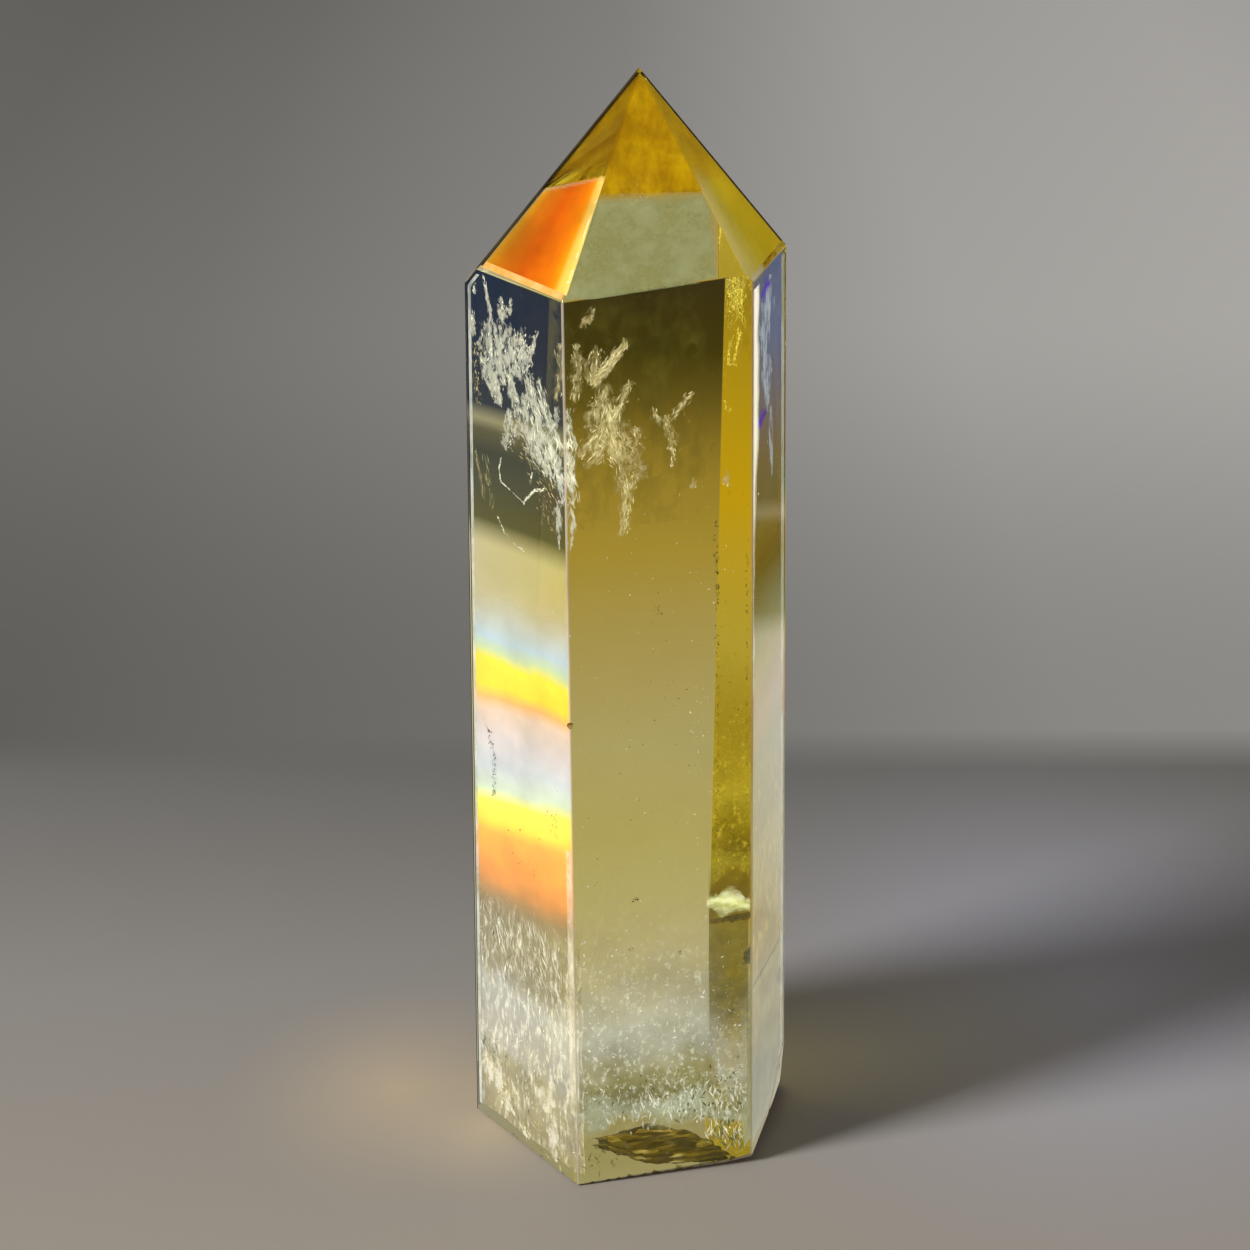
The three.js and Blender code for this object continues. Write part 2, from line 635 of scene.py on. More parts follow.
def film_material(name, coordinate, stops, glow, fade=None, contrast=(0.82, 1.08), flecks=None):
    """A thin coloured film. Its colours and its alpha run along one stored coordinate, from stop
    to stop, and fade, if given, is the amount at which it reaches its full alpha. flecks is the
    colour of a fine mottling, the part of the film that it takes, and its grain."""
    material, tree = new_material(name)
    first, last = stops[0][0], stops[-1][0]
    film = ramp(tree, spread(tree, stored(tree, coordinate), first, last), [
        ((position - first) / (last - first), colour) for position, colour in stops
    ])
    cloud, _ = object_noise(tree, (260, 260, 260), 4.0, 0.5)
    shade = node(tree, "VectorMath", operation="SCALE", Scale=spread(tree, cloud, 0.3, 0.7, *contrast))
    fill(tree, shade.inputs[0], film["Color"])
    colour = shade.outputs["Vector"]
    if flecks:
        tint, part, stretch = flecks
        grain, _ = object_noise(tree, stretch, 6.0, 0.7)
        colour = mixed(tree, spread(tree, grain, 0.6 - part, 0.78 - part), colour, tint)
    alpha = film["Alpha"]
    if fade:
        alpha = math_node(tree, "MULTIPLY", alpha, spread(tree, stored(tree, "amount"), 0.0, fade))
    return flaw_surface(material, tree, 0.4, colour, glow, alpha)


WHITE = ((0.62, 0.66, 0.6), (1.0, 1.0, 0.95))
CREAM = ((0.52, 0.44, 0.2), (0.98, 0.94, 0.7))
OLIVE = ((0.1, 0.085, 0.02), (0.22, 0.18, 0.04))
NEARLY_BLACK = ((0.02, 0.018, 0.01), (0.08, 0.06, 0.02))

LEFT_FEATHERS = [
    ([(-3.9, 76.2), (-3.4, 74.4), (-2.7, 72.3)], 0.2, 40, 0.7, 0.09),
    ([(-1.9, 74.9), (-1.5, 73.2)], 0.5, 30, 0.5, 0.11),
    ([(-0.8, 75.2), (-0.9, 74.2)], 0.2, 14, 0.5, 0.09),
    ([(-3.4, 72.6), (-3.4, 70.2), (-2.7, 67.8)], 0.95, 125, 0.5, 0.11),
    ([(-2.2, 72.9), (-2.1, 70.8), (-1.6, 68.7)], 0.7, 75, 0.5, 0.11),
    ([(-0.9, 73.1), (-0.7, 71.4), (-0.4, 69.6)], 0.8, 90, 0.5, 0.11),
    ([(0.5, 73.2), (0.3, 71.5), (0, 70)], 0.75, 80, 0.5, 0.11),
    ([(2.1, 73.6), (1.3, 71.8), (0.8, 69.9)], 0.3, 40, 0.6, 0.09),
    ([(-5.3, 73.2), (-5.2, 71.6)], 0.3, 26, 0.4, 0.1),
    ([(-4.2, 69.6), (-3.2, 68.3), (-2.3, 66.9)], 0.6, 55, 0.5, 0.1),
    ([(-1.1, 69.6), (-0.6, 67.8), (0.1, 65.8)], 0.45, 75, 0.8, 0.09),
    ([(1, 69.8), (1.8, 67.4), (3.1, 65.2), (4.6, 62.8)], 0.95, 160, 1.2, 0.08),
    ([(2.2, 70), (2.9, 67.8), (4.5, 65.6)], 0.45, 60, 1.1, 0.08),
    ([(3.4, 65.4), (4.2, 63.4), (4.8, 61.4)], 0.4, 55, 1, 0.08),
    ([(0.2, 68), (1.2, 66.2), (2.5, 64.3)], 0.8, 75, 0.9, 0.08),
    ([(4.2, 68.6), (3.7, 66.9), (4.7, 65.8)], 0.3, 35, 0.6, 0.09),
    ([(-1.2, 66.6), (-0.9, 65.2), (-1.8, 63.8)], 0.6, 45, 0.4, 0.1),
    ([(0.8, 65.6), (2.2, 64), (3.4, 63.2)], 0.9, 85, 0.6, 0.09),
    ([(4.2, 61.4), (4.4, 57.8)], 0.25, 20, 0.5, 0.1),
    ([(-5, 75.4), (-4.9, 74.6)], 0.25, 16, 0.3, 0.14),
]
LEFT_CURVE = [
    ([(-2.2, 62.6), (-2.5, 61.6), (-2.3, 60.6), (-1.2, 60.3), (0.3, 59.8)], 0.07, 110, 0.3, 0.07),
    ([(0.3, 59.8), (1, 60.6), (1.7, 61.3), (2.7, 61.7)], 0.11, 110, 0.35, 0.1),
    ([(1.4, 62.6), (1.1, 61.8)], 0.08, 20, 0.3, 0.08),
    ([(-2.8, 57.6), (-2, 56.6), (-0.8, 56), (0.4, 55.9)], 0.12, 50, 0.3, 0.08),
]
FRONT_FEATHERS = [
    ([(-1.9, 73.6), (-3.1, 72.2), (-4.3, 70.6)], 0.42, 135, 0.8, 0.09),
    ([(-3.9, 73.2), (-4.3, 71.6), (-4.2, 70.6)], 0.55, 70, 0.6, 0.09),
    ([(-5.5, 73.6), (-5.3, 71.6), (-5.6, 69.6)], 0.4, 45, 0.6, 0.08),
    ([(-3.5, 70.1), (-3.8, 68.2), (-3.5, 66.6), (-4.4, 64.8)], 0.8, 180, 0.7, 0.09),
    ([(-3.2, 69), (-3, 66.8), (-2.3, 64.6)], 0.9, 255, 0.8, 0.09),
    ([(-2.5, 65.4), (-2, 62.6), (-2, 60.6), (-2.2, 58.8)], 0.4, 120, 0.7, 0.08),
    ([(-1.6, 70.6), (-2.3, 69), (-2.9, 67.8)], 0.35, 80, 0.6, 0.09),
    ([(-3.6, 67.3), (-4.5, 66.2), (-5.3, 65.2)], 0.4, 60, 0.6, 0.08),
    ([(-2.1, 66.4), (-1.3, 65.2), (-1.2, 63.6), (-1.6, 62.4)], 0.55, 90, 0.5, 0.09),
    ([(-1.3, 67.2), (-0.9, 66.2)], 0.3, 24, 0.4, 0.09),
    ([(2.9, 69.5), (2.1, 68.4), (1.3, 67.5)], 0.26, 50, 0.5, 0.09),
    ([(0.9, 67.9), (1.3, 66.6), (1.5, 65.2)], 0.32, 50, 0.4, 0.09),
    ([(1.6, 65.2), (1.5, 63.8)], 0.18, 24, 0.4, 0.08),
    ([(0.1, 68.5), (0.4, 67.4)], 0.24, 24, 0.4, 0.09),
    ([(-4.2, 76.3), (-4.9, 75.1)], 0.3, 24, 0.4, 0.08),
    ([(5.3, 62.9), (5.6, 61.9)], 0.2, 20, 0.3, 0.08),
    ([(3.1, 62.5), (3.2, 61.9)], 0.18, 14, 0.3, 0.08),
]
# Known fault: each height of 0.045 is wrong, so these splinters start at the foot, and some lie below the
# base.
FAINT_FEATHERS = [
    ([(1.7, 0.045), (0.5, 0.045), (-0.9, 71.7)], 0.5, 20, 0.6, 0.045),
    ([(1.7, 0.045), (1.4, 0.045), (0.6, 69.6)], 0.6, 25, 0.6, 0.045),
    ([(3.6, 0.045), (5, 0.045), (5.2, 64.4)], 0.9, 40, 0.4, 0.045),
    ([(2.6, 0.045), (3.4, 0.045), (3.9, 62.8)], 0.6, 30, 0.4, 0.045),
    ([(-2.4, 0.045), (0.4, 0.045), (2.8, 63)], 1.8, 80, 0.35, 0.045),
    ([(-5.2, 0.045), (-3.6, 60.6)], 1.1, 35, 0.4, 0.045),
    ([(-1, 0.045), (1.4, 0.045), (2.4, 72.4)], 1.2, 45, 0.5, 0.045),
]
LEFT_FAINT_STREAKS = [
    ([(-5.5, 62.4), (-4.8, 60.4), (-4.3, 58.4)], 0.25, 40, 1, 0.09),
    ([(-4.2, 62.6), (-3.7, 60.2), (-3.3, 58.2)], 0.3, 32, 1, 0.08),
    ([(-2, 65), (1.6, 63.6), (3.8, 61.6)], 1.6, 140, 0.5, 0.12),
    ([(2, 61), (4.2, 58.6)], 1.2, 50, 0.4, 0.1),
    ([(-5.2, 71), (-4.9, 66)], 0.8, 90, 0.4, 0.13),
]


def add_feathers():
    fine, coarse = (2600, 2600, 1100), (2100, 2100, 1000)
    white = flaw_material("white_splinter", ((0.55, 0.58, 0.5), (1, 1, 0.88)), 0.55, 0.95)
    cream = flaw_material("cream_splinter", ((0.5, 0.44, 0.16), (1, 0.96, 0.72)), 0.42, 0.85)
    faint = flaw_material("faint_splinter", ((0.35, 0.32, 0.08), (0.85, 0.78, 0.42)), 0.3, 0.75)
    pale_veil = flaw_material(
        "white_veil", ((0.44, 0.47, 0.43), (1, 0.99, 0.92)), 0.4, 0.78, 1, 1.3, coarse,
    )
    cream_veil = flaw_material("cream_veil", CREAM, 0.28, 0.6, 1, 0.8, fine)
    # Painted shade: a dark olive cloud under the upper front, where the front face looks dark.
    smoke = flaw_material(
        "front_shade_cloud", ((0.08, 0.09, 0.01), (0.34, 0.3, 0.06)), 0.25, 0.35, 1, 0.7, (700, 700, 450),
    )
    sheet(
        "left_veil", LEFT, (54.5, 76.2), rectangle(-5.9, 4.9), 0.11,
        torn(LEFT_FEATHERS, 11, 1.6), wavy_depth(1.9, 0.9, 3), pale_veil, LEFT_SLANT,
    )
    sheet(
        "front_veil", FRONT, (58, 76.8), rectangle(-6.1, 6.2), 0.11,
        torn(FRONT_FEATHERS, 23, 1.8), wavy_depth(2.6, 1.6, 9), cream_veil, FRONT_SLANT,
    )
    sheet(
        "front_shade_cloud", FRONT, (58, 76.2), inset(FRONT, 0.5), 0.25,
        clouded(((-6.6, -5.8), (4.6, 3.6), (58.0, 63.0), (76.2, 74.0)), 1.4, 24),
        wavy_depth(3.4, 0.8, 25), smoke,
    )
    for name, face, strokes, depths, seed, material, wildness, slant in (
        ("left_feathers", LEFT, LEFT_FEATHERS, (0.9, 2.4), 31, white, 0.32, LEFT_SLANT),
        ("left_curve", LEFT, LEFT_CURVE, (2.2, 2.4), 32, white, 0.1, LEFT_SLANT),
        ("front_feathers", FRONT, FRONT_FEATHERS, (1.6, 3.6), 33, cream, 0.28, FRONT_SLANT),
        ("front_faint", FRONT, FAINT_FEATHERS, (2, 4), 34, faint, 0.5, FRONT_SLANT),
        ("left_faint", LEFT, LEFT_FAINT_STREAKS, (1.2, 2.4), 35, faint, 0.22, LEFT_SLANT),
    ):
        splinters(name, face, strokes, depths, seed, material, wildness, slant=slant)


LEFT_FOOT_STREAKS = [
    ([(-6.5, 23), (5, 22)], 3, 90, 1.4, 0.1),
    ([(-6.6, 19.5), (-1, 19)], 3.5, 130, 1.4, 0.11),
    ([(-1, 18), (5.4, 17)], 4.5, 120, 1.4, 0.1),
    ([(-6.6, 15), (5.4, 13.5)], 2.5, 120, 1.2, 0.12),
]
LEFT_FOOT_FLAKES = [
    ([(-6.4, 6.4), (-4.6, 5.4), (-2.6, 3)], 1.5, 90, 0.7, 0.28),
    ([(-1.8, 1.8), (-0.4, 0.9)], 0.5, 24, 0.6, 0.18),
    ([(-6, 10.5), (5.2, 9.5)], 3, 110, 0.8, 0.12),
    ([(0, 5), (5, 2)], 3, 60, 0.7, 0.14),
]
LEFT_FOOT_PATCHES = [
    ([(1, 6.6), (3, 6.5)], 1),
    ([(1.3, 5.6), (2.4, 5.2)], 0.6),
    ([(2.9, 5), (2.8, 3.4), (3.1, 0.9)], 0.65),
    ([(-6, 6), (-5.4, 4.6)], 0.95),
    ([(-4.5, 5.7), (-4, 3.8)], 0.7),
    ([(-3.5, 3.5), (-2.4, 2.3)], 0.55),
    ([(-1.8, 1.8), (-0.5, 0.9)], 0.35),
]
LEFT_DARK_SHARDS = [
    ([(-6.4, 7.7), (-3.2, 7.2)], 0.9, 40, 0.8, 0.18),
    ([(-2.6, 5.6), (0.2, 4.6)], 1.6, 30, 0.7, 0.16),
    ([(-3, 2), (2, 1)], 1.6, 30, 0.6, 0.14),
    ([(-6.6, 20), (4, 18)], 5, 110, 1, 0.12),
]
FRONT_FOOT_SPECKS = [
    ([(-6, 20.5), (7.2, 19.5)], 7, 130, 0.26, 0.14),
    ([(-6, 14), (7.4, 13.5)], 5, 210, 0.4, 0.15),
    ([(-6, 9.5), (7.6, 9)], 3, 130, 0.45, 0.16),
    ([(3.4, 34), (3.7, 45.5)], 0.9, 25, 0.2, 0.12),
    ([(-5, 30), (6, 34)], 16, 65, 0.18, 0.1),
    ([(-5.5, 57), (6.5, 52)], 9, 40, 0.2, 0.09),
]
FRONT_FOOT_SHARDS = [
    ([(-4.2, 6.8), (-1.6, 7)], 2, 40, 0.8, 0.12),
    ([(-1.6, 6.8), (1.4, 7)], 2.2, 70, 1, 0.14),
    ([(1.4, 6.8), (4.4, 6.6)], 2.2, 80, 1, 0.14),
    ([(4.4, 6.4), (7.6, 6.2)], 2.4, 90, 1, 0.14),
    ([(4.6, 4.2), (7.6, 2.6)], 1.3, 60, 1, 0.16),
]
FRONT_DARK_SHARDS = [
    ([(-5.6, 8.4), (7.4, 8.8)], 1.6, 120, 0.5, 0.22),
    ([(2, 6.4), (7.4, 6)], 2.2, 70, 0.8, 0.2),
    ([(5, 3.6), (7.6, 2.2)], 1.3, 60, 0.8, 0.24),
    ([(-6, 3), (-3, 2)], 2, 30, 0.8, 0.16),
]
# The cloudy foot under three faces: colour and alpha by height above the floor.
FRONT_FOOT_CLOUD = [
    (0.4, (0.4, 0.3, 0.08, 0.08)),
    (4.2, (0.42, 0.34, 0.13, 0.1)),
    (6.2, (0.4, 0.44, 0.34, 0.8)),
    (7.6, (0.34, 0.36, 0.27, 0.82)),
    (8.6, (0.23, 0.22, 0.1, 0.8)),
    (10.5, (0.32, 0.31, 0.2, 0.78)),
    (13.5, (0.44, 0.46, 0.43, 0.8)),
    (17, (0.46, 0.46, 0.4, 0.66)),
    (21, (0.48, 0.45, 0.32, 0.4)),
    (27, (0.48, 0.4, 0.18, 0)),
]
LEFT_FOOT_CLOUD = [
    (0.4, (0.38, 0.31, 0.14, 0.55)),
    (3, (0.42, 0.37, 0.22, 0.7)),
    (6.5, (0.38, 0.34, 0.2, 0.75)),
    (8.5, (0.46, 0.44, 0.38, 0.85)),
    (14, (0.48, 0.48, 0.44, 0.85)),
    (17, (0.32, 0.28, 0.16, 0.66)),
    (21, (0.22, 0.17, 0.06, 0.5)),
    (25, (0.26, 0.17, 0.04, 0)),
]
RIGHT_FOOT_CLOUD = [
    (1, (0.4, 0.44, 0.32, 0.7)),
    (8, (0.34, 0.38, 0.3, 0.65)),
    (16, (0.36, 0.4, 0.34, 0.45)),
    (24, (0.36, 0.38, 0.32, 0)),
]


def foot_height(seed, later):
    """Height with a wander, rising beyond a place across the face, where the cloud is lower,
    though not at the very foot."""
    def amount(a, h):
        wander = 1.6 * noise.fractal(Vector((a * 0.45, h * 0.45, seed)), 0.7, 2.0, 3)
        lower = 3.4 * min(max(a - later, 0.0), 2.0) * min(max((h - 2.0) / 8.0, 0.0), 1.0)
        return max(0.3, h + wander + lower)
    return amount


def add_foot_clouds():
    clouds = (
        ("front_foot_cloud", FRONT, FRONT_FOOT_CLOUD, 4.4, (0.78, 0.84, 0.76), 0.07, (1900, 1900, 1300)),
        ("left_foot_cloud", LEFT, LEFT_FOOT_CLOUD, 9, (1, 0.98, 0.88), 0.1, (2000, 2000, 520)),
        ("right_foot_cloud", RIGHT, RIGHT_FOOT_CLOUD, 9, (0.52, 0.58, 0.52), 0.02, (900, 900, 400)),
    )
    for seed, (name, face, stops, later, *flecks) in enumerate(clouds):
        cloudy = film_material(name, "amount", stops, 0.62, contrast=(0.7, 1.18), flecks=flecks)
        sheet(
            name, face, (stops[0][0] + 0.4, stops[-1][0]), inset(face, 0.3), 0.25,
            foot_height(50 + seed, later), wavy_depth(0.9, 0.4, 52 + seed), cloudy,
        )


def add_foot_flaws():
    streak = flaw_material("foot_streak", ((0.6, 0.56, 0.42), (1, 1, 0.9)), 0.45, 0.85)
    flake = flaw_material("foot_flake", CREAM, 0.45, 0.9)
    speck = flaw_material("white_speck", WHITE, 0.4, 0.72)
    patch = flaw_material(
        "foot_patch", ((0.62, 0.58, 0.42), (1, 0.98, 0.88)), 0.52, 0.85, 0.8, 0.7, (1500, 1500, 600),
    )
    olive = flaw_material("olive_shard", ((0.1, 0.09, 0.02), (0.26, 0.28, 0.12)), 0.25, 0.75)
    for name, face, strokes, depths, seed, material, wildness in (
        ("left_foot_streaks", LEFT, LEFT_FOOT_STREAKS, (0.5, 0.9), 41, streak, 0.2),
        ("left_foot_flakes", LEFT, LEFT_FOOT_FLAKES, (0.4, 0.8), 42, flake, 0.5),
        ("front_foot_specks", FRONT, FRONT_FOOT_SPECKS, (0.3, 0.8), 43, speck, 0.8),
        ("front_foot_shards", FRONT, FRONT_FOOT_SHARDS, (0.3, 0.8), 44, speck, 0.3),
        ("front_dark_shards", FRONT, FRONT_DARK_SHARDS, (0.3, 0.8), 45, olive, 0.5),
        ("left_dark_shards", LEFT, LEFT_DARK_SHARDS, (0.3, 0.8), 47, olive, 0.4),
    ):
        splinters(name, face, strokes, depths, seed, material, wildness, UPRIGHT)
    sheet(
        "left_foot_patches", LEFT, (0.5, 7.8), inset(LEFT, 0.4), 0.1,
        torn(LEFT_FOOT_PATCHES, 46, 1.2), 0.35, patch,
    )


DARK_SPECKS = [
    ([(-4.6, 39), (-3.8, 36), (-4.1, 32.6)], 0.35, 120, 0.25, 0.13),
    ([(3, 35), (3.4, 32.5)], 0.8, 32, 0.2, 0.12),
    ([(-3, 30), (3, 27)], 2, 32, 0.2, 0.1),
]
FRONT_DARK_SPECKS = [
    ([(4.7, 59), (4.9, 52), (5.1, 30)], 0.16, 120, 0.35, 0.1),
    ([(7.1, 58), (7.4, 34)], 0.1, 60, 0.4, 0.09),
    ([(5.8, 48), (6.2, 26)], 0.9, 60, 0.2, 0.09),
    ([(-1.5, 27.4), (-1.4, 27)], 0.25, 16, 0.25, 0.14),
    ([(-1.9, 22.8), (-1.9, 22.4)], 0.2, 12, 0.2, 0.12),
    ([(2.1, 22), (2.1, 21.6)], 0.2, 12, 0.2, 0.12),
    ([(-5, 44), (5, 40)], 16, 100, 0.16, 0.09),
    ([(0.2, 52.6), (0.6, 51.8)], 0.3, 16, 0.2, 0.1),
]


def add_dark_flaws():
    dark = flaw_material("dark_speck", NEARLY_BLACK, 0, 0.85)
    olive = flaw_material("olive_speck", OLIVE, 0.05, 0.85)
    splinters("left_dark_specks", LEFT, DARK_SPECKS, (0.06, 0.16), 61, dark, 0.8)
    splinters("front_dark_specks", FRONT, FRONT_DARK_SPECKS, (0.4, 1.6), 62, olive, 0.8, slant=FRONT_SLANT)


RIGHT_STREAKS = [
    ([(-0.6, 75.2), (-1.2, 71.4)], 2),
    ([(-1.2, 70.8), (-0.4, 66.4)], 1.2),
    ([(0.2, 65.4), (0.6, 60.4)], 0.7),
]
# Painted highlights: tiny violet glints under the top of the front right face.
VIOLET_GLINTS = [
    ([(-2.2, 75.3), (-0.2, 75.4)], 1),
    ([(-3.4, 65.9), (-1.2, 65.9)], 1),
]
# A painted highlight: the bright spot in the amber strip near the right side of the front face.
STRIP_GLINT = [
    ([(4.9, 26.2), (5.9, 25.9), (7.4, 25.4)], 1.3),
]
TIP_WISPS = [
    ([(0.1, 83.6), (0, 81.6)], 0.35, 44, 0.8, 0.12),
    ([(-1.2, 83.4), (-0.9, 82.4)], 0.5, 28, 0.6, 0.09),
    ([(1, 84.2), (0.8, 82.4)], 0.4, 24, 0.7, 0.08),
]


def add_right_flaws():
    bright = flaw_material(
        "painted_glint_strip", ((1, 0.97, 0.76), (1, 1, 1)), 0.85, 0.97, 1.2, 0.4, (2400, 2400, 300),
    )
    grey_blue = flaw_material(
        "pale_streak", ((0.38, 0.46, 0.58), (0.95, 0.98, 1)), 0.62, 0.78, 1, 1.4, (1900, 1900, 520),
    )
    violet = flaw_material("violet_glint", ((0.08, 0, 0.6), (0.3, 0.03, 0.85)), 0.5, 0.92, 1.2)
    spot = flaw_material(
        "strip_glint", ((0.74, 0.8, 0.3), (1, 1, 0.98)), 0.9, 0.97, 1, 0.35, (300, 300, 700),
    )
    smoke = flaw_material("strip_shade", ((0.1, 0.09, 0.005), (0.3, 0.26, 0.04)), 0.3, 0.62, 0.8)
    wisp = flaw_material("amber_wisp", ((0.55, 0.42, 0.08), (0.95, 0.85, 0.45)), 0.2, 0.7)
    # Painted glint: a pale glowing strip that stands for light along the left side of the front right
    # face.
    sheet(
        "painted_glint_strip", RIGHT, (44, 76.3), beside(RIGHT, 0.22, 2.6), 0.12,
        glint(0.22, 1.7, 66.0, 71), 0.16, bright,
    )
    sheet(
        "right_streaks", RIGHT, (57, 76), rectangle(-3.6, 1.6), 0.12,
        torn(RIGHT_STREAKS, 72, 1.2), 0.3, grey_blue,
    )
    # Painted violet highlights near the top of the front right face.
    sheet(
        "violet_glints", RIGHT, (64.5, 76.4), rectangle(-4.4, 1), 0.12,
        torn(VIOLET_GLINTS, 73, 1.0), 0.2, violet,
    )
    # Painted highlight: the bright spot in the amber strip.
    sheet("strip_glint", FRONT, (23.4, 28), rectangle(4.3, 7.8), 0.1, torn(STRIP_GLINT, 74, 1.1), 0.5, spot)
    # Painted shade: a dark band along the right side of the front face, from 12 to 29.5 mm up.
    sheet(
        "strip_shade", FRONT, (12, 29.5), beside(FRONT, -3.45, -0.25), 0.2,
        lambda a, h: min((h - 12.0) / 6.0, (29.5 - h) / 5.0), 0.6, smoke,
    )
    splinters("tip_wisps", TOP_FACET, TIP_WISPS, (0.4, 1.0), 75, wisp)


# Painted light: the rainbow of dispersed light on the left face, as a glowing coloured film under it,
# colour and alpha by band height.
RAINBOW_BANDS = [
    (22, (0.2, 0.12, 0.02, 0)),
    (23.6, (0.34, 0.19, 0.03, 0.55)),
    (25.2, (0.74, 0.3, 0.03, 0.8)),
    (27.5, (0.95, 0.4, 0.04, 0.92)),
    (30.2, (0.97, 0.5, 0.05, 0.92)),
    (31.3, (0.98, 0.76, 0.06, 0.92)),
    (33.3, (0.98, 0.9, 0.1, 0.88)),
    (34.6, (0.74, 0.88, 0.72, 0.75)),
    (36.6, (0.68, 0.74, 0.82, 0.75)),
    (39, (0.76, 0.7, 0.74, 0.75)),
    (41.4, (0.84, 0.66, 0.55, 0.78)),
    (42.4, (0.97, 0.52, 0.18, 0.82)),
    (43.4, (0.98, 0.78, 0.06, 0.85)),
    (45.4, (0.97, 0.86, 0.07, 0.85)),
    (46.3, (0.64, 0.8, 0.52, 0.75)),
    (47.5, (0.5, 0.68, 0.84, 0.7)),
    (49.5, (0.56, 0.62, 0.6, 0.6)),
    (52, (0.64, 0.57, 0.36, 0.2)),
    (54, (0.6, 0.54, 0.27, 0)),
]


def rainbow_band(a, h):
    """Where a place lies in the painted rainbow bands, which rise a little to the right."""
    tilt = 0.13 + 0.15 * math.exp(-((h - 33) / 6) ** 2)
    wander = 0.35 * noise.noise(Vector((a * 0.25, h * 0.3, 40))) + 0.1 * noise.noise(Vector((a, h, 41)))
    return h - tilt * a + wander


def add_painted_rainbow():
    bands = film_material("painted_rainbow", "amount", RAINBOW_BANDS, 0.6)
    sheet("painted_rainbow", LEFT, (21.0, 57.0), inset(LEFT, 0.2), 0.3, rainbow_band, 0.25, bands)


def orange_light_patch(a, h):
    """How far a place is below the slanting top of the painted orange light on the facet, in millimetres.
    """
    return 83.0 + 0.37 * a - h


def add_facet_films():
    # Painted light: the orange of the left tip facet, light seen through the crystal, as a glowing film
    # under the facet.
    amber = film_material("orange_facet_light", "share", [
        (0, (0.66, 0.34, 0.006, 0.96)),
        (0.15, (0.62, 0.19, 0.002, 0.98)),
        (0.45, (0.68, 0.13, 0.001, 0.99)),
        (0.75, (0.86, 0.24, 0.002, 0.99)),
        (0.85, (0.96, 0.36, 0.004, 0.99)),
        (0.91, (1, 0.64, 0.1, 0.98)),
        (1, (1, 0.76, 0.2, 0.98)),
    ], 0.4, fade=0.5, contrast=(0.74, 1.12))
    # Painted highlight: a pale cream line along the lower edge of the orange facet.
    cream = flaw_material("cream_edge_highlight", ((0.92, 0.5, 0.1), (1, 0.78, 0.36)), 0.35, 0.95, 0.5)
    olive = film_material("olive_film", "share", [
        (0, (0.62, 0.5, 0.09, 0.72)),
        (0.3, (0.5, 0.4, 0.02, 0.88)),
        (0.7, (0.6, 0.44, 0.003, 0.95)),
        (1, (0.62, 0.44, 0.003, 0.95)),
    ], 0.5)
    sheet(
        "orange_facet_light", LEFT_FACET, (76.95, 85), inset(LEFT_FACET, 0.3, 0.02), 0.16,
        orange_light_patch, 0.22, amber,
    )
    sheet("cream_edge_highlight", LEFT_FACET, (76.62, 77.0), inset(LEFT_FACET, 0.25), 0.12, everywhere, 0.22, cream)
    sheet("olive_film", RIGHT_FACET, (77.2, 88.5), inset(RIGHT_FACET, 0.2), 0.25, everywhere, 0.25, olive)


OUTLINE_SHADE = ((0.015, 0.01, 0.004), (0.07, 0.045, 0.015))


def add_painted_edge_lines():
    """Painted shade and light along the edges: dark lines just under the edges that bound the crystal to
    the left and to the right, and pale highlight lines beside them and beside the front edge."""
    fine = (600, 600, 300)
    dark = flaw_material("painted_dark_outline", OUTLINE_SHADE, 0, 0.92, 0.5)
    pale = flaw_material("painted_pale_line", ((0.55, 0.6, 0.5), (1, 1, 0.95)), 0.45, 0.8, 1, 0.5, fine)
    cream = flaw_material("painted_cream_line", ((0.74, 0.68, 0.44), (1, 0.98, 0.84)), 0.5, 0.8, 1.5, 0.6, fine)
    lines = (
        ("outline_left", LEFT, (0.6, 76.2), (0.22, 0.34), dark),
        ("outline_right", RIGHT, (6, 76.4), (-0.22, -0.42), dark),
        ("outline_tip_left", LEFT_FACET, (76.7, 89.7), (0.1, 0.32), dark),
        ("outline_tip_right", RIGHT_FACET, (77.2, 89.7), (-0.06, -0.32), dark),
        ("pale_left", LEFT, (1, 76), (0.36, 0.7), pale),
        ("pale_right", RIGHT, (5, 76.4), (-0.44, -1.3), pale),
        ("cream_corner", LEFT, (7, 32), (-0.8, -0.16), cream),
    )
    for name, face, heights, sides, material in lines:
        sheet(name, face, heights, beside(face, *sides), 0.3, everywhere, 0.12, material)


